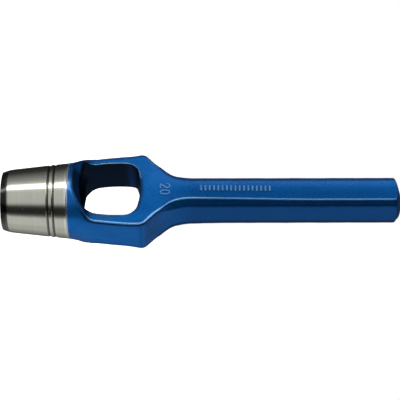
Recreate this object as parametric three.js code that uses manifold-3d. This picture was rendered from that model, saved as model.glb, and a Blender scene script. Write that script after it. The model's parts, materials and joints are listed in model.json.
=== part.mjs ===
// An arch punch, the hand tool that is struck with a mallet to cut round holes in leather,
// felt, card and gasket sheet. It stands on its cutting edge, as it does at work.
// Sizes are in millimetres. Z runs up the tool from the cutting edge to the struck end,
// X runs across the arch, and Y runs through the arch window.

import * as THREE from "three";
import { mergeVertices } from "three/addons/utils/BufferGeometryUtils.js";
import Module from "manifold-3d";

const wasm = await Module();
wasm.setup();

const degrees = (angle) => THREE.MathUtils.degToRad(angle);

// The whole tool
const overallLength = 140;
const overrun = 1;
const roundSegments = 72;
const arcSteps = 8;
const collarSteps = 12;

// The bright cutting tube
const boreDiameter = 20;
const boreReliefAngle = degrees(1);
const edgeLand = 0.2;
const bevelHeight = 2.3;
const bevelDiameter = 22.1;
const headLength = 23;
const collarDiameter = 26.7;
const firstGrooveHeight = 16.5;
const groovePitch = 1.9;
const grooveWidth = 0.7;
const grooveDepth = 0.35;
const grooveCount = 2;

// The register that seats the cutting tube in the collar of the forged body
const registerDiameter = 23.9;
const registerLength = 2;
const registerClearance = 0.1;
const registerEndClearance = 0.2;

// The collar and the ramps that run from it down to the two arch faces
const rampSetback = 1.5;
const rampAngle = degrees(48);
const rampFillet = 3;
const rampCrest = 3;

// The arch
const archThickness = 11.9;
const shoulderWidth = 33.2;
const shoulderHeight = 49.6;
const shoulderRadius = 3;
const flatSideHeight = 34;
const archEdgeBreak = 0.25;

// The window through the arch
const windowWidth = 23.5;
const windowBottom = 27.3;
const windowTop = 49.1;
const windowBottomRadius = 65;
const windowTopRadius = 29;
const windowBottomCorner = 1.2;
const windowTopCorner = 1.9;

// The neck, whose slope is measured from level, and the eight-sided shank
const neckAngle = degrees(43.6);
const neckFillet = 13;
const shankWidth = 13.1;
const shankThickness = 12.7;
const shankChamfer = 1.9;
const neckFacetSwell = 1.6;
const crownRadius = 14;
const crownFlatDiameter = 6;

// The raised size number and the row of raised bars on the front face
const numberHeight = 3.8;
const digitWidth = 2.4;
const digitPitch = 3;
const numberCentreHeight = 57;
const strokeWidth = 0.55;
const markRise = 0.25;
const barCount = 17;
const barPitch = 1.5;
const barThickness = 0.7;
const barLength = 2.6;
const firstBarHeight = 69.6;

// Sizes worked out from the ones above
const boreRadius = boreDiameter / 2;
const collarRadius = collarDiameter / 2;
const bevelRadius = bevelDiameter / 2;
const registerRadius = registerDiameter / 2;
const shoulderHalf = shoulderWidth / 2;
const archHalf = archThickness / 2;
const shankHalfWidth = shankWidth / 2;
const shankHalfThickness = shankThickness / 2;
const windowHalf = windowWidth / 2;
const sideTaper = (shoulderHalf - collarRadius) / (shoulderHeight - headLength);

// The radius of the bore at a height, which widens slowly so that cut discs come free
const boreRadiusAt = (height) => boreRadius + height * Math.tan(boreReliefAngle);

// The radius of the head's outer cone at a height
function headRadiusAt(height) {
  const share = (height - bevelHeight) / (headLength - bevelHeight);
  return THREE.MathUtils.lerp(bevelRadius, collarRadius, share);
}

// Half the width of the arch between its straight sides at a height
const sideHalfAt = (height) => collarRadius + (height - headLength) * sideTaper;

// Rounds each corner [x, y, radius] of an outline, or of an open line, with an arc
function roundCorners(corners, closed) {
  const points = [];
  corners.forEach(([x, y, radius], index) => {
    const corner = new THREE.Vector2(x, y);
    const isEnd = !closed && (index === 0 || index === corners.length - 1);
    if (!radius || isEnd) {
      points.push(corner);
      return;
    }
    const before = corners[(index + corners.length - 1) % corners.length];
    const after = corners[(index + 1) % corners.length];
    const toBefore = new THREE.Vector2(before[0] - x, before[1] - y).normalize();
    const toAfter = new THREE.Vector2(after[0] - x, after[1] - y).normalize();
    const half = Math.acos(toBefore.dot(toAfter)) / 2;
    const reach = radius / Math.sin(half);
    const centre = toBefore.clone().add(toAfter).setLength(reach).add(corner);
    const start = toBefore.clone().multiplyScalar(radius / Math.tan(half)).add(corner).sub(centre);
    const turn = Math.PI - 2 * half;
    const direction = Math.sign(toBefore.y * toAfter.x - toBefore.x * toAfter.y);
    for (let step = 0; step <= arcSteps; step += 1) {
      const angle = direction * turn * (step / arcSteps);
      points.push(start.clone().rotateAround(new THREE.Vector2(), angle).add(centre));
    }
  });
  return points;
}

// Turns closed geometry into a solid that can be joined and cut
function solidFrom(geometry) {
  const bare = geometry.clone();
  bare.deleteAttribute("normal");
  bare.deleteAttribute("uv");
  const merged = mergeVertices(bare);
  const mesh = new wasm.Mesh({
    numProp: 3,
    vertProperties: new Float32Array(merged.attributes.position.array),
    triVerts: new Uint32Array(merged.index.array),
  });
  return new wasm.Manifold(mesh);
}

// Turns a solid back into geometry for a mesh
function geometryFrom(solid) {
  const { vertProperties, triVerts } = solid.getMesh();
  const geometry = new THREE.BufferGeometry();
  geometry.setAttribute("position", new THREE.BufferAttribute(vertProperties, 3));
  geometry.setIndex(new THREE.BufferAttribute(triVerts, 1));
  geometry.computeVertexNormals();
  return geometry;
}

// A solid of revolution about Z from points [radius, height], in a closed ring or from the axis
function turned(points) {
  const profile = points.map(([radius, height]) => new THREE.Vector2(radius, height));
  const geometry = new THREE.LatheGeometry(profile, roundSegments);
  return solidFrom(geometry.rotateX(Math.PI / 2));
}

// An outline of points (x, height) extruded equally to both sides of the XZ plane
function platedAlongY(points, halfThickness) {
  const settings = { depth: 2 * halfThickness, bevelEnabled: false };
  const geometry = new THREE.ExtrudeGeometry(new THREE.Shape(points), settings);
  geometry.translate(0, 0, -halfThickness);
  return solidFrom(geometry.rotateX(Math.PI / 2));
}

// The outer cone of the head with its grooves, from the bevel up to the collar face
function grooveProfile() {
  const points = [[headRadiusAt(bevelHeight), bevelHeight]];
  for (let index = 0; index < grooveCount; index += 1) {
    const middle = firstGrooveHeight + index * groovePitch;
    const low = middle - grooveWidth / 2;
    const high = middle + grooveWidth / 2;
    const floorLow = middle - grooveWidth / 4;
    const floorHigh = middle + grooveWidth / 4;
    points.push([headRadiusAt(low), low]);
    points.push([headRadiusAt(floorLow) - grooveDepth, floorLow]);
    points.push([headRadiusAt(floorHigh) - grooveDepth, floorHigh]);
    points.push([headRadiusAt(high), high]);
  }
  points.push([headRadiusAt(headLength), headLength]);
  return points;
}

// The bright tube: bore, sharp bevelled edge, grooves, shoulder and register
function makeCuttingTube() {
  const registerTop = headLength + registerLength;
  const profile = [
    [boreRadius, 0],
    [boreRadius + edgeLand, 0],
    ...grooveProfile(),
    [registerRadius, headLength],
    [registerRadius, registerTop],
    [boreRadiusAt(registerTop), registerTop],
    [boreRadius, 0],
  ];
  return turned(profile);
}

// A section of the space that rounds off the collar: a circle where the collar meets the
// cutting tube, squared off by the fifth power of the distance up to the flat-sided arch
function collarSectionAt(height) {
  const share = (height - headLength) / (flatSideHeight - headLength);
  const reach = sideHalfAt(height) + archEdgeBreak * share;
  const straight = (reach - archEdgeBreak) * share ** 5;
  const step = 2 * Math.PI / roundSegments;
  const section = [];
  for (let index = 0; index < roundSegments; index += 1) {
    const angle = (index + 0.5) * step;
    const x = Math.sign(Math.cos(angle)) * straight + (reach - straight) * Math.cos(angle);
    const y = Math.sign(Math.sin(angle)) * straight + (reach - straight) * Math.sin(angle);
    section.push([x, y, height]);
  }
  return section;
}

// The space that rounds off the collar and leaves the rest of the body as it is
function makeCollarRounding() {
  const sections = [];
  for (let step = 0; step <= collarSteps; step += 1) {
    const height = THREE.MathUtils.lerp(headLength, flatSideHeight, step / collarSteps);
    sections.push(collarSectionAt(height));
  }
  const last = sections[sections.length - 1];
  const spread = shoulderWidth / last[0][0];
  const wide = last.map(([x, y]) => [x * spread, y * spread]);
  sections.push(wide.map(([x, y]) => [x, y, flatSideHeight + overrun]));
  sections.push(wide.map(([x, y]) => [x, y, overallLength + overrun]));
  return skinned(sections);
}

// The line of the front face from the collar down its ramp to the arch, as (reach, height)
function rampLine() {
  const rampTopHeight = headLength + rampSetback;
  const rampTop = sideHalfAt(rampTopHeight);
  const rampFootHeight = rampTopHeight + (rampTop - archHalf) / Math.tan(rampAngle);
  const below = headLength - overrun;
  return roundCorners([
    [sideHalfAt(below), below],
    [rampTop, rampTopHeight, rampCrest],
    [archHalf, rampFootHeight, rampFillet],
    [archHalf, flatSideHeight],
  ], false);
}

// The line of one side of the arch, neck and shank, as points (half width, height)
function sideLine() {
  const neckRise = (shoulderHalf - shankHalfWidth) * Math.tan(neckAngle);
  const line = roundCorners([
    [sideHalfAt(flatSideHeight), flatSideHeight],
    [shoulderHalf, shoulderHeight, shoulderRadius],
    [shankHalfWidth, shoulderHeight + neckRise, neckFillet],
    [shankHalfWidth, overallLength + overrun],
  ], false);
  return line.slice(1);
}

// An eight-sided section whose corners are cut back by one leg on the face and one on the side
function eightSided(halfWidth, halfThickness, faceLeg, sideLeg, height) {
  const quarter = [
    [halfWidth, halfThickness - sideLeg],
    [halfWidth - faceLeg, halfThickness],
  ];
  const half = [...quarter, ...quarter.map(([x, y]) => [-x, y]).reverse()];
  const whole = [...half, ...half.map(([x, y]) => [-x, -y])];
  return whole.map(([x, y]) => [x, y, height]);
}

// The collar, arch, neck and shank in one run, all with flat sides
function makeBar() {
  const low = rampLine().map(({ x: reach, y: height }) => (
    eightSided(sideHalfAt(height), reach, archEdgeBreak, archEdgeBreak, height)
  ));
  const side = sideLine();
  const neckTop = side[side.length - 2].y;
  const high = side.map(({ x: halfWidth, y: height }) => {
    const share = THREE.MathUtils.smoothstep(height, shoulderHeight, neckTop);
    const halfThickness = THREE.MathUtils.lerp(archHalf, shankHalfThickness, share);
    const chamfer = THREE.MathUtils.lerp(archEdgeBreak, shankChamfer, share);
    const faceLeg = chamfer + neckFacetSwell * Math.sin(Math.PI * share);
    return eightSided(halfWidth, halfThickness, faceLeg, chamfer, height);
  });
  return skinned([...low, ...high]);
}

// Skins a bar through a list of sections that all have as many points
function skinned(sections) {
  const count = sections[0].length;
  const top = (sections.length - 1) * count;
  const indices = [];
  for (let ring = 0; ring < sections.length - 1; ring += 1) {
    for (let index = 0; index < count; index += 1) {
      const here = ring * count + index;
      const next = ring * count + (index + 1) % count;
      indices.push(here, next, next + count);
      indices.push(here, next + count, here + count);
    }
  }
  for (let index = 1; index < count - 1; index += 1) {
    indices.push(0, index + 1, index);
    indices.push(top, top + index, top + index + 1);
  }
  const geometry = new THREE.BufferGeometry();
  geometry.setAttribute("position", new THREE.Float32BufferAttribute(sections.flat(2), 3));
  geometry.setIndex(indices);
  return solidFrom(geometry);
}

// The corners of one end of the window, from one side to the other: the end is a shallow
// curve that bulges away from the middle, up where direction is 1 and down where it is -1
function windowEnd(level, endRadius, cornerRadius, direction) {
  const reach = windowHalf - cornerRadius;
  const drop = Math.sqrt(endRadius ** 2 - reach ** 2);
  const slope = reach / drop;
  const reachLevel = level - direction * (endRadius - drop);
  const peak = reachLevel + direction * reach * slope;
  const cornerLevel = reachLevel - direction * cornerRadius * slope;
  return [
    [direction * windowHalf, cornerLevel, cornerRadius],
    [0, peak, endRadius],
    [-direction * windowHalf, cornerLevel, cornerRadius],
  ];
}

// The window: straight sides, a shallow curve at each end and four small corners
function makeWindow() {
  const outline = roundCorners([
    ...windowEnd(windowTop, windowTopRadius, windowTopCorner, 1),
    ...windowEnd(windowBottom, windowBottomRadius, windowBottomCorner, -1),
  ], true);
  return platedAlongY(outline, collarRadius + overrun);
}

// The seat for the register, with the bore that leads on into the window
function makeSeat() {
  const seatRadius = registerRadius + registerClearance;
  const seatTop = headLength + registerLength + registerEndClearance;
  const boreTop = windowBottom + overrun;
  return turned([
    [0, headLength - overrun],
    [seatRadius, headLength - overrun],
    [seatRadius, seatTop],
    [boreRadiusAt(seatTop), seatTop],
    [boreRadiusAt(boreTop), boreTop],
    [0, boreTop],
  ]);
}

// A round block that holds the whole body and gives the struck end its crown
function makeCrown() {
  const flatRadius = crownFlatDiameter / 2;
  const centre = overallLength - Math.sqrt(crownRadius ** 2 - flatRadius ** 2);
  const outside = shoulderHalf + archHalf;
  const flatAngle = Math.acos(flatRadius / crownRadius);
  const crown = [];
  for (let step = 0; step <= arcSteps; step += 1) {
    const angle = flatAngle * (step / arcSteps);
    crown.push([crownRadius * Math.cos(angle), centre + crownRadius * Math.sin(angle)]);
  }
  return turned([
    [0, headLength - overrun],
    [outside, headLength - overrun],
    [outside, centre],
    ...crown,
    [0, overallLength],
  ]);
}

// The outline of a line drawn with a pen of one width through the given points
function penStroke(points) {
  const offset = (index, side) => {
    const before = points[Math.max(index - 1, 0)];
    const after = points[Math.min(index + 1, points.length - 1)];
    const along = after.clone().sub(before).normalize();
    const across = new THREE.Vector2(-along.y, along.x).multiplyScalar(side * strokeWidth / 2);
    return points[index].clone().add(across);
  };
  const left = points.map((point, index) => offset(index, 1));
  const right = points.map((point, index) => offset(index, -1)).reverse();
  return [...left, ...right];
}

// The figure two: a hook over the top, a slant down and a foot
function figureTwo() {
  const hookRadius = (digitWidth - strokeWidth) / 2;
  const top = (numberHeight - strokeWidth) / 2;
  const points = [];
  for (let step = 0; step <= arcSteps; step += 1) {
    const angle = Math.PI - (Math.PI + degrees(35)) * (step / arcSteps);
    const x = hookRadius * Math.cos(angle);
    const y = top - hookRadius + hookRadius * Math.sin(angle);
    points.push(new THREE.Vector2(x, y));
  }
  points.push(new THREE.Vector2(-hookRadius, strokeWidth / 2 - top));
  return penStroke(points);
}

// Extrudes a mark from inside the front face to its own rise above the face
function raisedMark(shape, faceReach, x, height) {
  const settings = { depth: markRise + shankChamfer, bevelEnabled: false, curveSegments: arcSteps };
  const geometry = new THREE.ExtrudeGeometry(shape, settings);
  geometry.rotateX(Math.PI / 2);
  return solidFrom(geometry.translate(x, shankChamfer - faceReach, height));
}

// The size number, which gives the bore in millimetres
function makeNumber() {
  const faceReach = (archHalf + shankHalfThickness) / 2;
  const hookRadius = (digitWidth - strokeWidth) / 2;
  const foot = strokeWidth / 2 - (numberHeight - strokeWidth) / 2;
  const two = new THREE.Shape(figureTwo());
  const footOutline = [
    new THREE.Vector2(-hookRadius - strokeWidth / 2, foot - strokeWidth),
    new THREE.Vector2(digitWidth / 2, foot - strokeWidth),
    new THREE.Vector2(digitWidth / 2, foot),
    new THREE.Vector2(-hookRadius - strokeWidth / 2, foot),
  ];
  const nought = new THREE.Shape();
  nought.absellipse(0, 0, digitWidth / 2, numberHeight / 2, 0, 2 * Math.PI);
  const hollow = new THREE.Path();
  hollow.absellipse(0, 0, digitWidth / 2 - strokeWidth, numberHeight / 2 - strokeWidth, 0, 2 * Math.PI);
  nought.holes.push(hollow);
  const left = -digitPitch / 2;
  const right = digitPitch / 2;
  return raisedMark(two, faceReach, left, numberCentreHeight)
    .add(raisedMark(new THREE.Shape(footOutline), faceReach, left, numberCentreHeight))
    .add(raisedMark(nought, faceReach, right, numberCentreHeight));
}

// The row of equal raised bars along the front face of the shank
function makeBars() {
  const outline = [
    new THREE.Vector2(-barLength / 2, -barThickness / 2),
    new THREE.Vector2(barLength / 2, -barThickness / 2),
    new THREE.Vector2(barLength / 2, barThickness / 2),
    new THREE.Vector2(-barLength / 2, barThickness / 2),
  ];
  const bars = [];
  for (let index = 0; index < barCount; index += 1) {
    const height = firstBarHeight + index * barPitch;
    bars.push(raisedMark(new THREE.Shape(outline), shankHalfThickness, 0, height));
  }
  return wasm.Manifold.union(bars);
}

// The lacquered forging: collar, arch, neck and shank
function makeForgedBody() {
  return makeBar()
    .intersect(makeCollarRounding())
    .intersect(makeCrown())
    .subtract(makeSeat())
    .subtract(makeWindow())
    .add(makeNumber())
    .add(makeBars());
}

const groundSteel = new THREE.MeshStandardMaterial({
  name: "ground_steel",
  color: 0xc4c4bc,
  metalness: 1,
  roughness: 0.28,
});

const blueLacquer = new THREE.MeshStandardMaterial({
  name: "blue_lacquer",
  color: 0x1a5fb0,
  metalness: 0.2,
  roughness: 0.35,
});

function named(name, solid, material) {
  const mesh = new THREE.Mesh(geometryFrom(solid), material);
  mesh.name = name;
  return mesh;
}

const archPunch = new THREE.Group();
archPunch.add(named("cutting_tube", makeCuttingTube(), groundSteel));
archPunch.add(named("forged_body", makeForgedBody(), blueLacquer));

export default archPunch;
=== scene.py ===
"""An arch punch with a bright ground cutting head and a forged body in blue lacquer.

It stands on its cutting edge. Lengths are in metres: Z runs up the tool, X runs across the
arch and Y through the arch window, with the size number on the -Y face.
"""

import json
import math

import bpy
import numpy as np
from mathutils import Matrix, Vector


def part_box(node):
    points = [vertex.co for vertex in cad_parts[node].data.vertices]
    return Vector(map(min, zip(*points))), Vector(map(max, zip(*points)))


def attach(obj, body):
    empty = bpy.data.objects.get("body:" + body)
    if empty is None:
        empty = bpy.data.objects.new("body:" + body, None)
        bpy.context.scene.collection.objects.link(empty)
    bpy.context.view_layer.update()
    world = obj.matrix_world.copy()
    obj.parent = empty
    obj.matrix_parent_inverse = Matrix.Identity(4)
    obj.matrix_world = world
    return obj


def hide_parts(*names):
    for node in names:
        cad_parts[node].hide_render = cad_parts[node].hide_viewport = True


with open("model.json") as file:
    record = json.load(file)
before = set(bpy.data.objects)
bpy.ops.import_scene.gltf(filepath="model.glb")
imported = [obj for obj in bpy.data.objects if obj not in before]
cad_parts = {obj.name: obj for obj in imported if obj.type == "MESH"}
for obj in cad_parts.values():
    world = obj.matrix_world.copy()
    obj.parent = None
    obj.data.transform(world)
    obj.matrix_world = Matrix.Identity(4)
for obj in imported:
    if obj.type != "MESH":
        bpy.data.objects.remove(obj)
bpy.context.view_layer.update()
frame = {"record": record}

MM = 0.001
DEGREE = math.pi / 180

# Sizes read from the frame
mounts = {mount["name"]: mount["pos_m"] for mount in frame["record"]["mounts"]}
_, tube_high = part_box("cutting_tube")
body_low, body_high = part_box("forged_body")
tool_length = body_high.z
head_length = body_low.z
collar_radius = tube_high.x
shank_half_width = mounts["shank_right"][0]
shank_half_depth = mounts["shank_back"][1]

# The cutting head
bore_radius = 10 * MM
bore_relief = 1 * DEGREE
bore_end = 33 * MM
edge_land = 0.2 * MM
bevel_height = 2.3 * MM
bevel_radius = 11.05 * MM
bevel_heel = 0.12 * MM
first_groove_height = 16.5 * MM
groove_pitch = 1.9 * MM
groove_width = 0.7 * MM
groove_depth = 0.25 * MM
groove_count = 2
register_radius = 11.95 * MM
register_top = tube_high.z
seat_clearance = 0.1 * MM
seat_end_clearance = 0.2 * MM
head_edge_break = 0.06 * MM
first_head_row = 0.05 * MM
head_rows = 270
bore_rows = 60

# The collar and its ramps
ramp_setback = 1.5 * MM
ramp_angle = 48 * DEGREE
ramp_fillet = 5 * MM
ramp_crest = 3 * MM
flat_side_height = 36 * MM
collar_squareness = 2.6
lacquer_edge_radius = 0.08 * MM
bare_foot_height = 0.4 * MM

# The arch and its window, whose corner radii are those at the front and at the back
arch_half_depth = 6.15 * MM
shoulder_half_width = 16.6 * MM
shoulder_height = 49.6 * MM
shoulder_radius = 3 * MM
side_bow = 0.3 * MM
arch_edge_radius = 1.0 * MM
window_half_width = 11.6 * MM
window_widest_height = 40.5 * MM
window_side_radius = 40 * MM
window_offset = -0.25 * MM
window_bottom = 27.5 * MM
window_top = 48.3 * MM
window_bottom_radius = 65 * MM
window_top_radius = 34 * MM
window_top_corner_radii = (3.0 * MM, 0.7 * MM)
window_bottom_corner_radii = (1.3 * MM, 0.5 * MM)
window_draft = 0.45 * MM
window_draft_reach = 8 * MM
window_rim_radius = 0.35 * MM

# The neck, the shank and its crown
neck_angle = 39.8 * DEGREE
neck_fillet = 18 * MM
neck_half_depth = 6.85 * MM
neck_swell_heights = (44 * MM, 52 * MM)
back_swell = 0.5 * MM
back_rise_heights = (43 * MM, 53 * MM)
back_fall_heights = (58 * MM, 80 * MM)
neck_chamfer = 2.15 * MM
neck_chamfer_heights = (52.5 * MM, 60.5 * MM)
shank_chamfer = 1.7 * MM
shank_taper_heights = (62 * MM, 112 * MM)
shank_edge_radius = 1.2 * MM
bevel_turn = 52 * DEGREE
bevel_start_radius = 0.02 * MM
crown_radius = 14 * MM
crown_edge_radius = 0.35 * MM
crown_lean = 0.75 * MM
crown_lean_heights = (138 * MM, 139.5 * MM)
crown_flat_radius = 1.5 * MM

# Waves of the forged faces: radians a metre along x, y and z, and the angle at the origin
waves = ((700, 0, 480, 0), (0, 900, -370, 1), (290, 0, 990, 2))
wave_height = 0.012 * MM
wave_start_heights = (head_length, head_length + 4 * MM)

# What a part of a field gives where it plays no role, and the grid that finds the body's surface
deep_inside = -14 * MM
grid_x = np.arange(-17.05, 17.2, 0.27) * MM
grid_y = np.arange(-13.73, 13.8, 0.27) * MM
foot_margin = 0.35 * MM
arch_step = 0.37 * MM
crown_step = 0.2 * MM
crown_reach = 4 * MM
shank_steps = 50

# Wear of the lacquer, and painted highlights on its edges and at one spot of the collar. Here and
# in the next two groups a pair is where a share is 0 and where it is 1. Bends are curvatures in
# 1 / mm, rises and falls are heights above the collar face, and rim and bore parts are shares of
# an edge's radius
wear_highlight_heights = np.array([24, 26, 28, 29.5, 36, 60, 76, 136, 138]) * MM
wear_highlight_shares = (0.20, 0.06, 0.06, 0.30, 0.52, 0.52, 0.25, 0.25, 0)
wear_highlight_bends = (0.15, 0.75)
collar_edge_wear = 0.3
collar_edge_rises = (0.7 * MM, 0.4 * MM)
# A painted highlight at one spot of the collar's crest
spot_highlight = 0.8
spot_turn = 13 * DEGREE
spot_width = 5 * DEGREE
spot_rises = (2.2 * MM, 1.0 * MM)
mark_wear = 0.40

# Where the lacquer pooled, and where painted shade darkens it
hollow_pool_and_shade = 0.6
hollow_bends = (0.02, 0.62)
side_turns = (38 * DEGREE, 56 * DEGREE)
outer_edge_places = (0, 4 * MM)
outer_edge_slopes = (0.05, 0.3)
crown_shade = 0.2
crown_slopes = (0.5, 0.8)
crown_shade_reach = 5 * MM
collar_shade_strength = 0.8
collar_shade_turns = (-9 * DEGREE, 3 * DEGREE)
collar_shade_rises = (0.2 * MM, 0.5 * MM)
collar_shade_falls = (4 * MM, 2 * MM)
corner_shade_depths = (-1.15 * MM, -0.42 * MM)
front_corner_factor = 1.4
corner_side_places = (0, 2 * MM)
window_end_shade = 0.8
window_end_widths = (1.6 * MM, 0.5 * MM)
window_end_heights = (45 * MM, 47 * MM)
window_end_places = (-6 * MM, -4 * MM)

# Where the lacquer is dull, and where painted shade darkens it nearly to black
dull_widths = (1.3 * MM, 0.5 * MM)
dull_rim_parts = (0.2, 1)
longer_dull_part = 1.2
longer_dull_places = (0, 4 * MM)
longer_dull_heights = (44 * MM, 36 * MM)
ramp_darkness = 0.85
ramp_depths = (-1.0 * MM, -0.3 * MM)
ramp_slopes = (0, 0.95)
light_ramp_part = 0.45
light_ramp_places = (2.5 * MM, 6 * MM)
shaded_rim_parts = (0.4, 0.05)
light_window_part = 0.35
light_window_heights = (42 * MM, 48 * MM)
shaded_bore_parts = (0.8, 0.1)

# The raised number and bars
number_height = 3.8 * MM
digit_width = 2.4 * MM
digit_pitch = 3 * MM
number_centre = (0.5 * MM, 57 * MM)
stroke_width = 0.55 * MM
hook_end = -35 * DEGREE
mark_rise = 0.25 * MM
mark_roundness = 0.6
mark_end_turn = 0.95
hook_points = 16
foot_points = 8
nought_points = 32
bar_points = 6
bar_count = 17
bar_pitch = 1.5 * MM
bar_thickness = 0.7 * MM
bar_length = 2.6 * MM
first_bar_height = 69.6 * MM


# Meshes

def mesh_object(name, vertices, faces, attributes=None, normals=None):
    """A smooth-shaded object at the origin from an array of points and an array of faces."""
    mesh = bpy.data.meshes.new(name)
    count, sides = faces.shape
    mesh.vertices.add(len(vertices))
    mesh.vertices.foreach_set("co", vertices.astype(np.float32).ravel())
    mesh.loops.add(count * sides)
    mesh.loops.foreach_set("vertex_index", faces.astype(np.int32).ravel())
    mesh.polygons.add(count)
    mesh.polygons.foreach_set("loop_start", np.arange(0, count * sides, sides, dtype=np.int32))
    mesh.polygons.foreach_set("use_smooth", np.ones(count, bool))
    for attribute_name, values in (attributes or {}).items():
        attribute = mesh.attributes.new(attribute_name, "FLOAT", "POINT")
        attribute.data.foreach_set("value", values.astype(np.float32).ravel())
    mesh.update(calc_edges=True)
    mesh.validate()
    if normals is not None:
        mesh.normals_split_custom_set_from_vertices(normals)
    thing = bpy.data.objects.new(name, mesh)
    bpy.context.scene.collection.objects.link(thing)
    return thing


def arc_corner(before, corner, after, radius, steps=48):
    """Points along the arc of a radius that touches the two lines meeting at a corner.

    The centre lies on the bisector at radius / sin(half the corner's angle), and the arc turns
    from one touching point to the other.
    """
    before, corner, after = map(np.array, (before, corner, after))
    to_before = (before - corner) / np.linalg.norm(before - corner)
    to_after = (after - corner) / np.linalg.norm(after - corner)
    half = math.acos(to_before @ to_after) / 2
    bisector = (to_before + to_after) / np.linalg.norm(to_before + to_after)
    centre = corner + bisector * radius / math.sin(half)
    start = corner + to_before * radius / math.tan(half) - centre
    end = corner + to_after * radius / math.tan(half) - centre
    share = np.linspace(0, 1, steps)[:, None]
    turn = math.pi - 2 * half
    arc = (np.sin((1 - share) * turn) * start + np.sin(share * turn) * end) / math.sin(turn)
    return centre + arc


def rounded_line(corners):
    """A line of points through corners (across, height, radius), with an arc at each inner one."""
    points = [np.array([corners[0][:2]])]
    for before, corner, after in zip(corners, corners[1:], corners[2:]):
        points.append(arc_corner(before[:2], corner[:2], after[:2], corner[2]))
    points.append(np.array([corners[-1][:2]]))
    return np.concatenate(points)


def even_step(start, end, value):
    """Goes evenly from 0 where the value is start to 1 where it is end, on either side of it."""
    return np.clip((value - start) / (end - start), 0, 1)


def smooth_step(start, end, value):
    """Goes from 0 to 1 over the same range as 3t^2 - 2t^3."""
    share = even_step(start, end, value)
    return share * share * (3 - 2 * share)


def round_max(first, second, radius, cosine=0.0):
    """The larger of two distance fields, with the edge where they meet rounded to a radius.

    With a = first + radius, b = second + radius and c the cosine between the faces' outward
    directions, the value near the edge is sqrt((a^2 + b^2 - 2abc) / (1 - c^2)) - radius, which
    is the distance from the line that lies a radius inside both faces.
    """
    a, b = first + radius, second + radius
    squared = (a * a + b * b - 2 * cosine * a * b) / (1 - cosine ** 2)
    near_edge = (a > cosine * b) & (b > cosine * a)
    return np.where(near_edge, np.sqrt(np.maximum(squared, 0)), np.maximum(a, b)) - radius


def implicit_surface(field, axes, passes=6):
    """The closed surface where a field is zero, as quads, one point to each crossed grid cell.

    A cell's point starts at the mean of where its edges cross zero. Newton's method then moves
    it along the field's gradient: point -= field * gradient / |gradient|^2, where the square
    counts as at least 0.1.
    """
    values = field(*np.meshgrid(*axes, indexing="ij"))
    inside = values < 0
    cells = tuple(size - 1 for size in values.shape)
    corner_offsets = [(i, j, k) for i in (0, 1) for j in (0, 1) for k in (0, 1)]

    def at_corner(array, offset):
        return array[tuple(slice(o, o + c) for o, c in zip(offset, cells))]

    filled = sum(at_corner(inside, offset).astype(np.int8) for offset in corner_offsets)
    crossed = (filled > 0) & (filled < 8)
    number = np.full(cells, -1)
    number[crossed] = np.arange(crossed.sum())
    place = np.argwhere(crossed)
    spots = [axis[place[:, i]] for i, axis in enumerate(axes)]
    widths = [np.diff(axis)[place[:, i]] for i, axis in enumerate(axes)]
    total = np.zeros((len(place), 3))
    crossings = np.zeros(len(place))
    for direction in range(3):
        for offset in corner_offsets:
            if offset[direction]:
                continue
            far = tuple(o + (i == direction) for i, o in enumerate(offset))
            here = at_corner(values, offset)[crossed]
            there = at_corner(values, far)[crossed]
            cut = (here < 0) != (there < 0)
            share = np.where(cut, here / np.where(cut, here - there, 1), 0)
            for i in range(3):
                step = share if i == direction else offset[i]
                total[:, i] += np.where(cut, spots[i] + widths[i] * step, 0)
            crossings += cut
    points = total / crossings[:, None]
    faces = []
    for direction in range(3):
        first, second = (direction + 1) % 3, (direction + 2) % 3
        ahead = tuple(slice(1, None) if i == direction else slice(None) for i in range(3))
        behind = tuple(slice(None, -1) if i == direction else slice(None) for i in range(3))
        leaving = inside[behind] & ~inside[ahead]
        entering = ~inside[behind] & inside[ahead]
        for change, order in ((leaving, (0, 1, 2, 3)), (entering, (3, 2, 1, 0))):
            edge = np.argwhere(change)
            ring = []
            for back_first, back_second in ((1, 1), (0, 1), (0, 0), (1, 0)):
                cell = edge.copy()
                cell[:, first] -= back_first
                cell[:, second] -= back_second
                ring.append(number[tuple(cell.T)])
            faces.append(np.stack([ring[i] for i in order], axis=1))
    for _ in range(passes):
        slope = gradient(field, points)
        size = np.maximum((slope ** 2).sum(axis=1), 0.1)
        points = points - slope * (field(*points.T) / size)[:, None]
    return points, np.concatenate(faces)


def gradient(field, points, step=0.02 * MM):
    """The slope of a field at points, by central differences."""
    shifts = np.eye(3) * step
    return np.stack([
        (field(*(points + shift).T) - field(*(points - shift).T)) / (2 * step)
        for shift in shifts
    ], axis=1)


def curvature(field, points, step=0.25 * MM):
    """The field's Laplacian at points: about 1 / radius on a round edge, negative in a hollow."""
    total = -6 * field(*points.T)
    for shift in np.eye(3) * step:
        total = total + field(*(points + shift).T) + field(*(points - shift).T)
    return total / step ** 2


# The forged body

def side_half_at(height):
    """Half the width across the straight sides, which widen steadily from collar to shoulder."""
    share = (height - head_length) / (shoulder_height - head_length)
    return collar_radius + (shoulder_half_width - collar_radius) * share


ramp_top = head_length + ramp_setback
ramp_foot = ramp_top + (side_half_at(ramp_top) - arch_half_depth) / math.tan(ramp_angle)
neck_rise = (shoulder_half_width - shank_half_width) * math.tan(neck_angle)
neck_top = shoulder_height + neck_rise
far_below = head_length - 5 * MM
far_above = tool_length + 5 * MM

side_line = rounded_line([
    (side_half_at(far_below), far_below, 0),
    (shoulder_half_width, shoulder_height, shoulder_radius),
    (shank_half_width, neck_top, neck_fillet),
    (shank_half_width, far_above, 0),
])
ramp_line = rounded_line([
    (side_half_at(far_below), far_below, 0),
    (side_half_at(ramp_top), ramp_top, ramp_crest),
    (arch_half_depth, ramp_foot, ramp_fillet),
    (arch_half_depth, shoulder_height, 0),
])
neck_end = side_line[-2][1]


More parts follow.
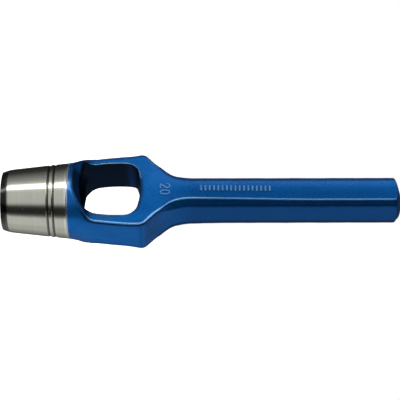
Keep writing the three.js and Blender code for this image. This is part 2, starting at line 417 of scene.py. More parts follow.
def bow_at(height):
    """How far the sides between collar and shoulder swell beyond straight: half a sine wave."""
    share = (height - head_length) / (shoulder_height - head_length)
    return side_bow * np.sin(np.pi * np.clip(share, 0, 1))


def swell_at(height):
    """What the neck and the shank add to half the arch's thickness.

    It rises to the neck's by a smooth step, and falls to the shank's by a longer one.
    """
    rise = (neck_half_depth - arch_half_depth) * smooth_step(*neck_swell_heights, height)
    fall = (neck_half_depth - shank_half_depth) * smooth_step(*shank_taper_heights, height)
    return rise - fall


def back_swell_at(height):
    """What the back of the neck adds to that: up by a smooth step, and down by a longer one."""
    rise, fall = smooth_step(*back_rise_heights, height), smooth_step(*back_fall_heights, height)
    return back_swell * (rise - fall)


def chamfer_at(height):
    """The leg of the corner bevels, which run out in the neck and narrow along the shank."""
    rise = neck_chamfer * smooth_step(*neck_chamfer_heights, height)
    fall = (neck_chamfer - shank_chamfer) * smooth_step(*shank_taper_heights, height)
    return rise - fall


def bevel_distance(across, depth, half_width, half_depth, height):
    """How far a point lies outside the corner bevel, whose normal turns bevel_turn off the face.

    It is the sum of the reaches past side and face, by the turn's sine and cosine, and of the
    bevel's leg / sqrt(2).
    """
    reach_x = (across - half_width) * math.sin(bevel_turn)
    reach_y = (depth - half_depth) * math.cos(bevel_turn)
    return reach_x + reach_y + chamfer_at(height) / math.sqrt(2)


def line_distance(line, across, height, swell):
    """How far a point lies outside a line that has one reach for each height, and that reach.

    The difference of the reaches is shortened by the cosine of the line's slope, and the swell
    moves the line outwards.
    """
    reach = np.interp(height, line[:, 1], line[:, 0])
    slope = np.interp(height, line[:, 1], np.gradient(line[:, 0], line[:, 1]))
    return (across - reach) / np.sqrt(1 + slope ** 2) - swell, reach + swell


def side_distance(x, height):
    """How far a point lies outside the tool's sides, and their reach at its height."""
    return line_distance(side_line, np.abs(x), height, bow_at(height))


def face_distance(y, height):
    """How far a point lies outside the front and back faces, and their reach at its height."""
    swell = swell_at(height) + np.where(y > 0, back_swell_at(height), 0)
    return line_distance(ramp_line, np.abs(y), height, swell)


def collar_field(across, depth, height):
    """A rounded square round the tool: a circle at the collar face, nearly square higher up.

    Its straight half side grows with a power of the height's share, and its corner radius is
    what is left of the reach. Inside the square the distance is the one to the nearest side.
    """
    share = even_step(head_length, flat_side_height, height)
    lower = np.minimum(height, flat_side_height)
    reach = side_half_at(lower) + bow_at(lower)
    straight = reach * share ** collar_squareness
    beside, beyond = across - straight, depth - straight
    corner = np.hypot(np.maximum(beside, 0), np.maximum(beyond, 0))
    field = corner + np.minimum(np.maximum(beside, beyond), 0) - (reach - straight)
    return np.where(height > flat_side_height, np.minimum(field, deep_inside), field)


def window_field(x, y, height):
    """The window's outline: a long arc for each side and end, with rounded corners.

    From the back to the front the corners get rounder and the -X side leans outwards.
    """
    front = 0.5 - 0.5 * np.clip(y / arch_half_depth, -1, 1)
    lean = window_draft * front * smooth_step(0, window_draft_reach, window_offset - x)
    across = np.abs(x - window_offset) - lean
    top_corner, bottom_corner = (
        radii[1] + (radii[0] - radii[1]) * front
        for radii in (window_top_corner_radii, window_bottom_corner_radii))
    top = np.hypot(across, height - (window_top - window_top_radius)) - window_top_radius
    bottom_centre = window_bottom + window_bottom_radius
    bottom = np.hypot(across, height - bottom_centre) - window_bottom_radius
    side_centre = window_side_radius - window_half_width
    side = np.hypot(across + side_centre, height - window_widest_height) - window_side_radius
    lower = round_max(side, bottom, bottom_corner)
    upper = round_max(side, top, top_corner)
    return np.where(height < window_widest_height, lower, upper)


def bore_field(radius, height):
    """The bore up to the window, with the wider seat for the head's register below it."""
    bore = radius - (bore_radius + height * math.tan(bore_relief))
    bore = np.maximum(bore, height - bore_end)
    seat = np.maximum(
        radius - register_radius - seat_clearance,
        height - register_top - seat_end_clearance,
    )
    return np.minimum(bore, seat)


def forging_wave(x, y, z):
    """The slight waves of a forged face: the sum of slanting sine waves, never above zero."""
    total = sum(
        np.sin(x * along_x + y * along_y + z * along_z + start)
        for along_x, along_y, along_z, start in waves)
    return wave_height * (total - len(waves)) * smooth_step(*wave_start_heights, z)


def body_field(x, y, z):
    """The forged body: below zero inside, zero on the surface, in metres.

    It is the larger of the side, face, corner bevel, collar, crown and foot distances, less the
    window and the bore, with every outer edge rounded by round_max.
    """
    side, half_width = side_distance(x, z)
    face, half_depth = face_distance(y, z)
    collar = collar_field(np.abs(x), np.abs(y), z)
    bevel = bevel_distance(np.abs(x), np.abs(y), half_width, half_depth, z)
    share = smooth_step(shoulder_height, neck_end, z)
    edge = arch_edge_radius + (shank_edge_radius - arch_edge_radius) * share
    bevel_edge = edge * smooth_step(*neck_chamfer_heights, z) + bevel_start_radius
    solid = round_max(np.maximum(side, collar), face, edge)
    solid = round_max(solid, bevel, bevel_edge, math.cos(math.pi / 4))
    solid = solid - forging_wave(x, y, z)
    crown_centre = tool_length - math.sqrt(crown_radius ** 2 - crown_flat_radius ** 2)
    lean = crown_lean * smooth_step(*crown_lean_heights, z)
    off_middle = np.hypot(x - lean, y - lean)
    crown = np.hypot(off_middle, np.maximum(z - crown_centre, 0)) - crown_radius
    crown = np.maximum(crown, z - tool_length)
    crown = np.where(z > crown_centre, crown, deep_inside)
    solid = round_max(solid, crown, crown_edge_radius)
    solid = round_max(solid, head_length - z, lacquer_edge_radius)
    solid = round_max(solid, -window_field(x, y, z), window_rim_radius)
    return round_max(solid, -bore_field(np.hypot(x, y), z), lacquer_edge_radius)


def fine_then_coarse():
    """Heights of the grid: close together round the arch and the crown, wider along the shank."""
    low = np.arange(head_length - foot_margin, neck_end + 1 * MM, arch_step)
    high = np.arange(tool_length - crown_reach, tool_length + 2 * crown_step, crown_step)
    between = np.linspace(low[-1], high[0], shank_steps)[1:-1]
    return np.concatenate([low, between, high])


def shaded_share(points):
    """Painted shade: 1 on the walls of the window and the bore, less on the ramps.

    The painted shade is lighter on the ramps towards -X, and on the window's walls towards its
    top end.
    """
    x, y, z = points.T
    face, _ = face_distance(y, z)
    slope = np.interp(z, ramp_line[:, 1], np.gradient(ramp_line[:, 0], ramp_line[:, 1]))
    on_ramp = smooth_step(*ramp_depths, face) * smooth_step(*ramp_slopes, -slope)
    on_ramp = on_ramp * ramp_darkness * (1 - light_ramp_part * smooth_step(*light_ramp_places, -x))
    on_window = smooth_step(*shaded_rim_parts, window_field(x, y, z) / window_rim_radius)
    on_window = on_window * (1 - light_window_part * smooth_step(*light_window_heights, z))
    bore = bore_field(np.hypot(x, y), z)
    on_bore = smooth_step(*shaded_bore_parts, bore / lacquer_edge_radius)
    return np.maximum(np.maximum(on_window, on_bore), on_ramp)


def collar_wear_and_light(points):
    """Wear and painted light on the collar: worn thin along its lower edge, with a painted
    highlight at one spot of its crest.

    The spot is a bell curve of the angle round the tool. Painted shade darkens the -X half, from
    the middle of the front round to the back.
    """
    x, y, z = points.T
    turn = np.arctan2(x, -y)
    up = z - head_length
    edge = collar_edge_wear * smooth_step(*collar_edge_rises, up)
    spot = spot_highlight * np.exp(-((turn - spot_turn) / spot_width) ** 2)
    spot = spot * smooth_step(*spot_rises, up)
    pooled = collar_shade_strength * smooth_step(*collar_shade_turns, -turn)
    pooled = pooled * smooth_step(*collar_shade_rises, up) * smooth_step(*collar_shade_falls, up)
    return np.maximum(edge, spot), pooled


def corner_shade(points):
    """Painted shade along every long edge but the one between the front and the +X side."""
    x, y, z = points.T
    _, half_width = side_distance(x, z)
    _, half_depth = face_distance(y, z)
    bevel = bevel_distance(np.abs(x), np.abs(y), half_width, half_depth, z)
    aside = smooth_step(*corner_side_places, -x)
    behind = smooth_step(*corner_side_places, y)
    wide = np.where(y < 0, front_corner_factor, 1)
    return smooth_step(*corner_shade_depths, bevel / wide) * np.maximum(aside, behind)


def window_end_share(points):
    """1 on the rim of the window's top end, darkened there by painted shade, but for its -X
    corner.
    """
    x, y, z = points.T
    beside = smooth_step(*window_end_widths, window_field(x, y, z))
    return beside * smooth_step(*window_end_heights, z) * smooth_step(*window_end_places, x)


def edge_wear_and_light(points, slope):
    """Shares of wear with painted highlight and of pooling with painted shade on rounded edges,
    from the curvature and the slope.

    An edge is worn and given a painted highlight on its half towards the front or back face, and
    given painted shade on the half towards the side. On the outer edges of the -X side the painted
    shade covers both halves.
    """
    x, z = points[:, 0], points[:, 2]
    bend = curvature(body_field, points) * MM
    edge = even_step(*wear_highlight_bends, bend)
    hollow = even_step(*hollow_bends, -bend)
    turn = np.arctan2(np.hypot(slope[:, 0], slope[:, 2]), np.abs(slope[:, 1]))
    outward = smooth_step(*outer_edge_places, -x) * smooth_step(*outer_edge_slopes, -slope[:, 0])
    sideways = np.maximum(smooth_step(*side_turns, turn), outward)
    crown = smooth_step(*crown_slopes, slope[:, 2]) * (z > tool_length - crown_shade_reach)
    window_end = window_end_share(points)
    collar_wear_and_highlight, collar_shade = collar_wear_and_light(points)
    worn = edge * (1 - sideways) * np.interp(z, wear_highlight_heights, wear_highlight_shares)
    worn = np.maximum(worn, collar_wear_and_highlight) * (1 - window_end)
    pooled = np.maximum.reduce([
        edge * sideways, hollow_pool_and_shade * hollow, crown_shade * crown, window_end_shade * window_end,
        corner_shade(points), collar_shade])
    return worn, pooled


def dull_share(points):
    """How dull the lacquer is on the faces beside the window: full at its rim, then fading.

    It fades over a longer way on the +X side of the arch.
    """
    x, y, z = points.T
    away = window_field(x, y, z)
    on_face = smooth_step(*dull_rim_parts, away / window_rim_radius) * (z > ramp_foot)
    on_side = smooth_step(*longer_dull_places, x) * smooth_step(*longer_dull_heights, z)
    return on_face * smooth_step(*dull_widths, away / (1 + longer_dull_part * on_side))


def make_body():
    """The lacquered forging, with its wear and painted highlights, its pooling and painted shade,
    and its dull places as attributes.
    """
    points, faces = implicit_surface(body_field, (grid_x, grid_y, fine_then_coarse()))
    slope = gradient(body_field, points)
    normals = slope / np.linalg.norm(slope, axis=1, keepdims=True)
    worn, pooled = edge_wear_and_light(points, slope)
    attributes = {
        "worn": worn,
        "pooled": pooled,
        "dull": dull_share(points),
        "hidden": shaded_share(points),
    }
    return mesh_object("lacquered_body", points, faces, attributes, normals)


body = make_body()
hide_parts("forged_body")
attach(body, "root")


# The ground cutting head

def lathe(name, profile, segments=288):
    """Turns a closed profile (radius, height) about Z: x = r cos a, y = r sin a, z = height."""
    angle = np.linspace(0, 2 * np.pi, segments, endpoint=False)
    radius, height = profile[:, 0], profile[:, 1]
    points = np.stack([
        np.outer(np.cos(angle), radius),
        np.outer(np.sin(angle), radius),
        np.broadcast_to(height, (segments, len(profile))),
    ], axis=2).reshape(-1, 3)
    turn, along = np.meshgrid(np.arange(segments), np.arange(len(profile)), indexing="ij")
    next_turn, next_along = (turn + 1) % segments, (along + 1) % len(profile)
    size = len(profile)
    faces = np.stack([
        turn * size + along,
        next_turn * size + along,
        next_turn * size + next_along,
        turn * size + next_along,
    ], axis=2).reshape(-1, 4)
    return mesh_object(name, points, faces)


def head_radius_at(height):
    """The head's outer cone between the bevel and the collar face."""
    share = (height - bevel_height) / (head_length - bevel_height)
    return bevel_radius + (collar_radius - bevel_radius) * share


def head_outline():
    """The outside of the head from the cutting edge to the collar face.

    Each groove lowers the cone by depth * exp(-(distance / half width)^4), a flat-bottomed dip
    with round shoulders. A soft minimum, -h ln(exp(-cone / h) + exp(-bevel / h)), rounds the
    heel of the bevel.
    """
    height = np.linspace(first_head_row, head_length - head_edge_break, head_rows)
    cone = head_radius_at(height)
    bevel_slope = (bevel_radius - bore_radius - edge_land) / bevel_height
    bevel = bore_radius + edge_land + height * bevel_slope
    radius = -bevel_heel * np.logaddexp(-cone / bevel_heel, -bevel / bevel_heel)
    for index in range(groove_count):
        middle = first_groove_height + index * groove_pitch
        distance = (height - middle) / (groove_width / 2)
        radius = radius - groove_depth * np.exp(-distance ** 4)
    return np.stack([radius, height], axis=1)


def make_head():
    """The bright head: cutting edge, bevel, grooved cone, register and relieved bore."""
    bore_top = bore_radius + register_top * math.tan(bore_relief)
    inside = np.linspace(1, 0, bore_rows)[:, None]
    bore = np.hstack([
        bore_radius + (bore_top - bore_radius) * inside,
        register_top * inside,
    ])
    outline = np.concatenate([
        [[bore_radius + edge_land, 0]],
        head_outline(),
        [[collar_radius - head_edge_break, head_length]],
        [[register_radius, head_length]],
        [[register_radius, register_top]],
        bore,
    ])
    return lathe("ground_head", outline)


head = make_head()
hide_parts("cutting_tube")
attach(head, "root")


# Marks raised on the front face

def face_depth_at(height):
    """How far the front face lies from the tool's middle at heights on the arch and above."""
    return arch_half_depth + swell_at(height)


def stroke(path, width, closed=False, around=16, cap_rings=6):
    """Points and faces of one raised stroke: a rounded section carried along (x, height).

    The section is a superellipse, (a c^n, b s^n) for the cosine and sine of one turn, which
    stands mark_rise above the face and as far below it. At an open end it shrinks with the
    cosine of nearly a quarter turn while it moves out with the sine, and the last ring is filled.
    """
    path = np.array(path, float)
    if closed:
        tangent = np.roll(path, -1, axis=0) - np.roll(path, 1, axis=0)
    else:
        tangent = np.gradient(path, axis=0)
    tangent = tangent / np.linalg.norm(tangent, axis=1, keepdims=True)
    size = np.ones(len(path))
    if not closed:
        turn = np.linspace(0, mark_end_turn, cap_rings + 1)[1:, None] * np.pi / 2
        end = path[-1] + tangent[-1] * np.sin(turn) * width / 2
        start = (path[0] - tangent[0] * np.sin(turn) * width / 2)[::-1]
        small = np.cos(turn)[:, 0]
        path = np.concatenate([start, path, end])
        tangent = np.concatenate([
            np.repeat(tangent[:1], cap_rings, axis=0), tangent,
            np.repeat(tangent[-1:], cap_rings, axis=0)])
        size = np.concatenate([small[::-1], size, small])
    normal = np.stack([-tangent[:, 1], tangent[:, 0]], axis=1)
    angle = (np.arange(around) + 0.5) / around * 2 * np.pi
    cosine, sine = np.cos(angle), np.sin(angle)
    across = np.sign(cosine) * np.abs(cosine) ** mark_roundness * width / 2
    rise = np.sign(sine) * np.abs(sine) ** mark_roundness * mark_rise
    flat = path[:, None] + normal[:, None] * (size[:, None] * across)[..., None]
    level = face_depth_at(flat[..., 1]) + size[:, None] * rise
    points = np.stack([flat[..., 0], -level, flat[..., 1]], axis=2).reshape(-1, 3)
    worn = mark_wear * np.clip(size[:, None] * rise / mark_rise, 0, 1).ravel()
    rings = len(path) if closed else len(path) - 1
    i, j = np.meshgrid(np.arange(rings), np.arange(around), indexing="ij")
    ahead, beside = (i + 1) % len(path), (j + 1) % around
    faces = np.stack([
        i * around + j, i * around + beside,
        ahead * around + beside, ahead * around + j,
    ], axis=2).reshape(-1, 4)
    if not closed:
        low = np.arange(around // 2 - 1)
        fill = np.stack([low, around - 1 - low, around - 2 - low, low + 1], axis=1)
        last = (len(path) - 1) * around + fill[:, ::-1]
        faces = np.concatenate([faces, fill, last])
    return points, faces, worn


def joined(name, parts):
    """One object from several strokes, with the wear on their tops kept as an attribute."""
    all_points, all_faces, all_worn = zip(*parts)
    starts = np.cumsum([0] + [len(points) for points in all_points])
    faces = np.concatenate([faces + start for faces, start in zip(all_faces, starts)])
    return mesh_object(name, np.concatenate(all_points), faces, {"worn": np.concatenate(all_worn)})


def make_number():
    """The size number: the bore in millimetres, read with the cutting edge downwards."""
    hook_radius = (digit_width - stroke_width) / 2
    half_height = (number_height - stroke_width) / 2
    turn = np.linspace(math.pi, hook_end, hook_points)
    hook = np.stack([
        hook_radius * np.cos(turn),
        half_height - hook_radius + hook_radius * np.sin(turn),
    ], axis=1)
    foot_left = (-hook_radius, -half_height)
    slant = np.linspace(hook[-1], foot_left, foot_points)[1:]
    foot = np.linspace(foot_left, (hook_radius, -half_height), foot_points)
    turn = np.linspace(0, 2 * np.pi, nought_points, endpoint=False)
    nought = np.stack([hook_radius * np.cos(turn), half_height * np.sin(turn)], axis=1)
    left = np.array(number_centre) - (digit_pitch / 2, 0)
    right = np.array(number_centre) + (digit_pitch / 2, 0)
    return joined("size_number", [
        stroke(np.concatenate([hook, slant]) + left, stroke_width),
        stroke(foot + left, stroke_width),
        stroke(nought + right, stroke_width, closed=True),
    ])


def make_bars():
    """The even row of short raised bars along the front of the shank."""
    reach = (bar_length - bar_thickness) / 2
    across = np.linspace(-reach, reach, bar_points)
    heights = first_bar_height + np.arange(bar_count) * bar_pitch
    return joined("raised_bars", [
        stroke(np.stack([across, np.full_like(across, height)], axis=1), bar_thickness)
        for height in heights
    ])


marks = [make_number(), make_bars()]
for mark in marks:
    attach(mark, "root")


# Colours of the finishes. A tint is how strongly it covers, and its colour
deep_blue = (0.003, 0.140, 0.52)
light_blue = (0.010, 0.200, 0.68)
# Painted shade, darker on the +X side of the shank and neck
shank_shade_tint = (0.85, (0.001, 0.075, 0.28))
# A painted sheen, lighter on the -X side of the shank and neck
sheen_tint = (0.35, (0.11, 0.31, 0.78))
dull_tint = (0.6, (0.04, 0.11, 0.15))
# Lighter where worn, and a painted highlight on edges and at a spot of the collar
wear_highlight_tint = (1, (0.33, 0.63, 0.95))
# Darker where the lacquer pooled, and painted shade on edges, crown, window end and collar
pooling_and_shade_tint = (0.85, (0.002, 0.03, 0.12))
# Painted shade, nearly black, on the walls of the window and the bore and on the ramps
shade_tint = (1, (0.002, 0.010, 0.030))
bare_tint = (1, (0.88, 0.89, 0.88))
deep_steel = (0.64, 0.64, 0.54)
light_steel = (0.80, 0.80, 0.69)
stain_tint = (0.35, (0.50, 0.56, 0.53))
# Painted shade in the grooves
groove_shade_tint = (0.78, (0.06, 0.06, 0.05))
# A painted highlight just below the collar face
lip_highlight_tint = (0.8, (0.90, 0.91, 0.90))
bevel_tint = (1, (0.20, 0.20, 0.19))

# Places of the finishes, again as where a share is 0 and where it is 1
shank_look_heights = (48 * MM, 68 * MM)
# Where painted shade and a painted sheen lie across the shank
shank_shade_places = (-4.5 * MM, 1.5 * MM)
sheen_places = (-0.5 * MM, -5 * MM)
bare_heights = (head_length + bare_foot_height, head_length + 0.75 * bare_foot_height)
groove_shade_parts = (0.62, 0.38)
lip_highlight_heights = (head_length - 0.9 * MM, head_length - 0.6 * MM)
bevel_heights = (bevel_height + 0.1 * MM, bevel_height - 0.1 * MM)
ring_stretch = (12, 12, 5200)
broad_ring_stretch = (8, 8, 700)
peel_height = 0.04 * MM
ring_height = 0.01 * MM

# How metallic and how rough the finishes are, and what wear with its painted highlight, painted
# shade, speckles or rings change
lacquer_metallic = 0.62
wear_highlight_metallic = -0.2
shaded_metallic = 0.3
lacquer_roughness = 0.24
speckle_roughness = 0.08
shaded_roughness = 0.15
coat_weight = 0.06
shaded_coat = -0.05
steel_roughness = 0.10
ring_roughness = 0.12


# Materials

class Wire:
    """A number socket in a material. Arithmetic on wires adds Math nodes to its tree."""

    def __init__(self, paint, socket):
        self.paint = paint
        self.socket = socket

    def maths(self, operation, *others):
        return self.paint.node("ShaderNodeMath", {"operation": operation}, [self, *others])

    def __add__(self, other):
        return self.maths("ADD", other)

    def __sub__(self, other):
        return self.maths("SUBTRACT", other)

    def __rsub__(self, other):
        return self * -1 + other

    def __mul__(self, other):
        return self.maths("MULTIPLY", other)

    __radd__ = __add__
    __rmul__ = __mul__


class Paint:
    """A material's node tree, with one method that adds any node."""

    def __init__(self, tree):
        self.tree = tree

    def node(self, kind, settings=None, inputs=(), output=0):
        """Adds a node, sets its settings, then gives its sockets values or links.

        inputs is a list in socket order or a dictionary by name, and output is the socket that
        comes back as a wire.
        """
        node = self.tree.nodes.new(kind)
        for name, value in (settings or {}).items():
            if name == "stops":
                self.set_stops(node.color_ramp, value)
            else:
                setattr(node, name, value)
        pairs = inputs.items() if isinstance(inputs, dict) else enumerate(inputs)
        for key, value in pairs:
            if isinstance(value, Wire):
                self.tree.links.new(value.socket, node.inputs[key])
            else:
                node.inputs[key].default_value = value
        return Wire(self, node.outputs[output]) if len(node.outputs) else None

    def set_stops(self, ramp, stops):
        """Gives a colour ramp its stops, as (position, grey or colour)."""
        while len(ramp.elements) > 1:
            ramp.elements.remove(ramp.elements[-1])
        for index, (position, value) in enumerate(stops):
            element = ramp.elements[0] if index == 0 else ramp.elements.new(position)
            element.position = position
            element.color = colour(value)

    def noise(self, vector, scale, detail=3, roughness=0.5):
        return self.node("ShaderNodeTexNoise", None, {
            "Vector": vector, "Scale": scale, "Detail": detail, "Roughness": roughness,
        })

    def mix(self, factor, first, second):
        """Mixes two colours."""
        return self.node(
            "ShaderNodeMix", {"data_type": "RGBA"}, {0: factor, 6: first, 7: second}, output=2)

    def ramp(self, value, start, end, at_start=0.0, at_end=1.0):
        """Goes from at_start where the value is start to at_end where it is end, and stays."""
        return self.node("ShaderNodeMapRange", None, [value, start, end, at_start, at_end])

    def tint(self, base, mask, tint):
        """Covers a base colour with a tint where a mask is 1."""
        strength, value = tint
        return self.mix(mask * strength, base, colour(value))

    def attribute(self, name):
        return self.node("ShaderNodeAttribute", {"attribute_name": name}, output="Fac")

    def stretched(self, vector, scale):
        return self.node("ShaderNodeMapping", None, {"Vector": vector, "Scale": scale})

    def place(self):
        return self.node("ShaderNodeTexCoord", output="Object")


def colour(value):
    """A grey or an (r, g, b) as an opaque colour."""
    red, green, blue = (value, value, value) if isinstance(value, (int, float)) else value
    return (red, green, blue, 1.0)


def new_material(name):
    """A new material and the paint for its empty node tree."""
    material = bpy.data.materials.new(name)
    material.use_nodes = True
    material.node_tree.nodes.clear()
    return material, Paint(material.node_tree)


def principled(paint, sockets):
    """Ends a material with a Principled shader."""
    shader = paint.node("ShaderNodeBsdfPrincipled", None, sockets)
    paint.node("ShaderNodeOutputMaterial", None, {"Surface": shader})


def lacquer_material():
    """Glossy deep blue lacquer over steel.

    It is lighter where it is worn thin, on edges and the tops of the marks, with a painted
    highlight on the edges and a painted sheen on the -X side of the shank. It is darker where it
    pooled, with painted shade on edges and on the +X side of the shank, and nearly black with
    painted shade on the walls of the window and the bore and on the ramps.
    Bare metal shows at its foot.
    """
    material, paint = new_material("blue_lacquer_finish")
    place = paint.place()
    x = paint.node("ShaderNodeSeparateXYZ", None, [place], output="X")
    z = paint.node("ShaderNodeSeparateXYZ", None, [place], output="Z")
    worn = paint.attribute("worn")
    pooled = paint.attribute("pooled")
    hidden = paint.attribute("hidden")
    on_shank = paint.ramp(z, *shank_look_heights)
    # Painted shade on the +X side of the shank, and a painted sheen on its -X side
    shank_shade = paint.ramp(x, *shank_shade_places) * on_shank
    sheen = paint.ramp(x, *sheen_places) * on_shank
    bare = paint.ramp(z, *bare_heights)
    cloud = paint.noise(place, scale=90)
    drift = paint.noise(paint.stretched(place, (1, 1, 0.3)), scale=260, detail=2)
    tone = paint.ramp(cloud * 0.6 + drift * 0.4, 0.35, 0.65)
    blue = paint.mix(tone, colour(deep_blue), colour(light_blue))
    tints = (
        (shank_shade, shank_shade_tint), (sheen, sheen_tint), (paint.attribute("dull"), dull_tint),
        (worn, wear_highlight_tint), (pooled, pooling_and_shade_tint), (hidden, shade_tint), (bare, bare_tint))
    for mask, tint in tints:
        blue = paint.tint(blue, mask, tint)
    speckle = paint.noise(place, scale=350, detail=2)
    peel = paint.noise(place, scale=300, detail=1)
    bump = paint.node("ShaderNodeBump", None, {
        "Strength": 0.05, "Distance": peel_height, "Height": peel})
    metallic = hidden * shaded_metallic + worn * wear_highlight_metallic + lacquer_metallic
    roughness = hidden * shaded_roughness + speckle * speckle_roughness + lacquer_roughness
    principled(paint, {
        "Base Color": blue,
        "Metallic": metallic.maths("MAXIMUM", bare),
        "Roughness": roughness,
        "Specular IOR Level": 0.06,
        "Coat Weight": hidden * shaded_coat + coat_weight,
        "Coat Roughness": 0.05,
        "Normal": bump,
    })
    return material


def steel_material():
    """Bright turned and ground steel with fine rings round it, painted shade in its grooves, a
    painted highlight just below the collar face, and a dark bevel.
    """
    material, paint = new_material("ground_steel_finish")
    place = paint.place()
    height = paint.node("ShaderNodeSeparateXYZ", None, [place], output="Z")
    rings = paint.noise(paint.stretched(place, ring_stretch), 1, detail=4, roughness=0.7)
    broad_rings = paint.noise(paint.stretched(place, broad_ring_stretch), 1)
    stain = paint.noise(place, scale=220, detail=4)
    grey = paint.mix(broad_rings, colour(deep_steel), colour(light_steel))
    grey = paint.tint(grey, stain, stain_tint)
    # Painted shade in each groove
    for index in range(groove_count):
        away = (height - (first_groove_height + index * groove_pitch)).maths("ABSOLUTE")
        grey = paint.tint(grey, paint.ramp(away * (1 / groove_width), *groove_shade_parts), groove_shade_tint)
    # A painted highlight just below the collar face
    grey = paint.tint(grey, paint.ramp(height, *lip_highlight_heights), lip_highlight_tint)
    grey = paint.tint(grey, paint.ramp(height, *bevel_heights), bevel_tint)
    bump = paint.node("ShaderNodeBump", None, {
        "Strength": 0.35, "Distance": ring_height, "Height": rings + broad_rings * 0.6})
    principled(paint, {
        "Base Color": grey,
        "Metallic": 1.0,
        "Roughness": rings * ring_roughness + steel_roughness,
        "Normal": bump,
    })
    return material


lacquer = lacquer_material()
for piece in [body, *marks]:
    piece.data.materials.append(lacquer)
head.data.materials.append(steel_material())


# The camera

view_angle = 40.85 * DEGREE
camera_distance = 0.4944
camera_aim = Vector((0, 0, 0.06922))
roll_tilt = 0.124 * DEGREE
axis_drop = 0.725 / 400
lens_length = 126
sensor_width = 36

toward_camera = Vector((math.sin(view_angle), -math.cos(view_angle), 0))
picture_up = Vector((-math.cos(view_angle), -math.sin(view_angle), 0))


def make_camera():
    """The camera, level with the middle of the tool and rolled so that +Z points right."""
    data = bpy.data.cameras.new("camera")
    data.lens = lens_length
    data.sensor_width = sensor_width
    data.clip_start = 10 * MM
    camera = bpy.data.objects.new("camera", data)
    bpy.context.scene.collection.objects.link(camera)
    along = Vector((0, 0, 1))
    right = along * math.cos(roll_tilt) - picture_up * math.sin(roll_tilt)
    up = along * math.sin(roll_tilt) + picture_up * math.cos(roll_tilt)
    turn = Matrix((right, up, toward_camera)).transposed()
    place = Matrix.Translation(camera_aim + toward_camera * camera_distance)
    camera.matrix_world = place @ turn.to_4x4()
    data.shift_y = axis_drop
    bpy.context.scene.camera = camera


make_camera()


# Floor, light tent, lamps and world

# How bright the floor shows under the tool, and the distances over which it turns white
floor_lift = 0.80
floor_lift_distances = (0.08, 0.5)
floor_reach = 3.0
floor_grey = 0.8
fill_level = 0.28

tent_reach = 0.6
tent_turns = 96
tent_rows = 49
tent_peak = 3.5

# Brightness of the tent's walls by the angle round the tool, from the camera's side
tent_levels = [
    (-180, 0.06), (-160, 0.10), (-146, 0.20), (-127, 0.33), (-112, 0.50), (-98, 0.50),
    (-86, 0.62), (-60, 0.62), (-51, 0.13), (-44, 0.02), (-25, 0.02), (-17, 0.08), (-10, 0.45),
    (-4, 0.58), (41, 0.60), (46, tent_peak), (53, tent_peak), (62, 0.55), (80, 0.30),
    (100, 0.14), (118, 0.04), (150, 0.02), (178, 0.05),
]

# Angles in radians from the camera's side, and lifts as sines of the angle above the tool's foot
strip_edges = ((0.72, 0.80), (1.06, 0.94))
strip_ground_level = 0.32
ground_lifts = (-0.62, -0.42)
ground_level = 0.12
gap_angles = (0.35, 0.15)
gap_lifts = (-0.14, -0.05)
gap_depth = 0.8

lamp_distance = 0.5
lamp_size = 0.35
key_angle = 95 * DEGREE
key_lift = 0.3
key_power = 2.8
back_direction = Vector((-0.3, 1, 0.3))
back_power = 1.5


def background_share(paint):
    """1 for what the camera, gloss and glass see directly, and 0 for light on the object."""
    camera, gloss, glass = (
        paint.node("ShaderNodeLightPath", output=name)
        for name in ("Is Camera Ray", "Is Glossy Ray", "Is Transmission Ray"))
    return camera.maths("MAXIMUM", gloss).maths("MAXIMUM", glass)


def make_floor():
    """A white floor that keeps the tool's shadow."""
    corners = np.array([(-1, -1, 0), (1, -1, 0), (1, 1, 0), (-1, 1, 0)]) * floor_reach
    floor = mesh_object("floor", corners, np.array([[0, 1, 2, 3]]))
    material, paint = new_material("white_floor")
    away = paint.node(
        "ShaderNodeVectorMath", {"operation": "LENGTH"}, [paint.place()], output="Value")
    lift = paint.ramp(away, *floor_lift_distances, floor_lift, 1.0)
    diffuse = paint.node("ShaderNodeBsdfDiffuse", None, {"Color": colour(floor_grey)})
    glow = paint.node("ShaderNodeEmission", None, {"Strength": background_share(paint) * lift})
    both = paint.node("ShaderNodeAddShader", None, [diffuse, glow])
    paint.node("ShaderNodeOutputMaterial", None, {"Surface": both})
    floor.data.materials.append(material)
    floor.visible_glossy = False


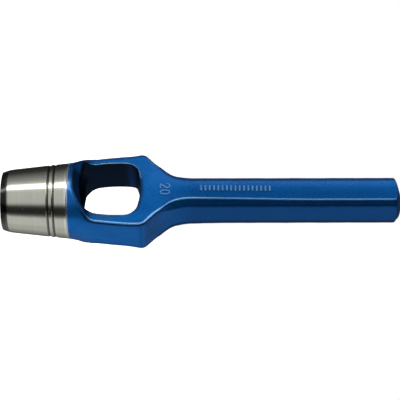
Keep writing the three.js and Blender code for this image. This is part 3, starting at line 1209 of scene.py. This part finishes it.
def make_tent():
    """A light tent, seen only in the gloss of the tool: pale walls, a bright strip and dark gaps.

    It is a sphere, (cos b cos a, cos b sin a, sin b) times its reach for a turn a and a lift b.
    Its brightness follows the angle round the tool from the camera's side, by a ramp, and is
    lower in the gap where the camera looks in and towards the ground.
    """
    turn, lift = np.meshgrid(
        np.linspace(0, 2 * np.pi, tent_turns, endpoint=False),
        np.linspace(-0.4999, 0.4999, tent_rows) * np.pi, indexing="ij")
    points = tent_reach * np.stack([
        np.cos(lift) * np.cos(turn), np.cos(lift) * np.sin(turn), np.sin(lift)], axis=2)
    i, j = np.meshgrid(np.arange(tent_turns), np.arange(tent_rows - 1), indexing="ij")
    here, beside = i * tent_rows + j, (i + 1) % tent_turns * tent_rows + j
    faces = np.stack([here, here + 1, beside + 1, beside], axis=2).reshape(-1, 4)
    tent = mesh_object("light_tent", points.reshape(-1, 3), faces)
    material, paint = new_material("tent_cloth")
    place = paint.place()

    def part_along(direction):
        return paint.node(
            "ShaderNodeVectorMath", {"operation": "DOT_PRODUCT"}, [place, tuple(direction)],
            output="Value")

    angle = part_along(picture_up).maths("ARCTAN2", part_along(toward_camera))
    share = angle * (0.5 / math.pi) + 0.5
    stops = [((degrees + 180) / 360, level / tent_peak) for degrees, level in tent_levels]
    walls = paint.node("ShaderNodeValToRGB", {"stops": stops}, [share])
    lift = part_along((0, 0, 1 / tent_reach))
    rising, falling = strip_edges
    on_strip = paint.ramp(angle, *rising) * paint.ramp(angle, *falling)
    ground = paint.ramp(lift, *ground_lifts, ground_level, 1.0)
    ground = ground.maths("MAXIMUM", on_strip * strip_ground_level)
    in_gap = paint.ramp(angle.maths("ABSOLUTE"), *gap_angles) * paint.ramp(lift, *gap_lifts)
    strength = ground * (1 - in_gap * gap_depth) * tent_peak
    glow = paint.node("ShaderNodeEmission", None, {"Color": walls, "Strength": strength})
    paint.node("ShaderNodeOutputMaterial", None, {"Surface": glow})
    material.cycles.emission_sampling = "NONE"
    tent.data.materials.append(material)
    for kind in ("camera", "diffuse", "transmission", "volume_scatter", "shadow"):
        setattr(tent, "visible_" + kind, False)


def make_lamp(name, direction, power):
    """A square soft lamp that faces the middle of the tool."""
    data = bpy.data.lights.new(name, "AREA")
    data.size = lamp_size
    data.energy = power
    lamp = bpy.data.objects.new(name, data)
    bpy.context.scene.collection.objects.link(lamp)
    back = direction.normalized()
    place = Matrix.Translation(Vector((0, 0, tool_length / 2)) + back * lamp_distance)
    lamp.matrix_world = place @ back.to_track_quat("Z", "Y").to_matrix().to_4x4()
    lamp.visible_glossy = False


def make_world():
    """A white background, with a plain grey fill on the object."""
    world = bpy.data.worlds.new("white_studio")
    world.use_nodes = True
    world.node_tree.nodes.clear()
    paint = Paint(world.node_tree)
    seen = background_share(paint)
    strength = seen + (1 - seen) * fill_level
    sky = paint.node("ShaderNodeBackground", None, {"Color": colour(1.0), "Strength": strength})
    paint.node("ShaderNodeOutputWorld", None, {"Surface": sky})
    bpy.context.scene.world = world


key_direction = (
    toward_camera * math.cos(key_angle) + picture_up * math.sin(key_angle)
    + Vector((0, 0, key_lift)))

make_floor()
make_tent()
make_lamp("key_lamp", key_direction, key_power)
make_lamp("back_lamp", back_direction, back_power)
make_world()

bpy.context.scene.view_settings.view_transform = "Standard"
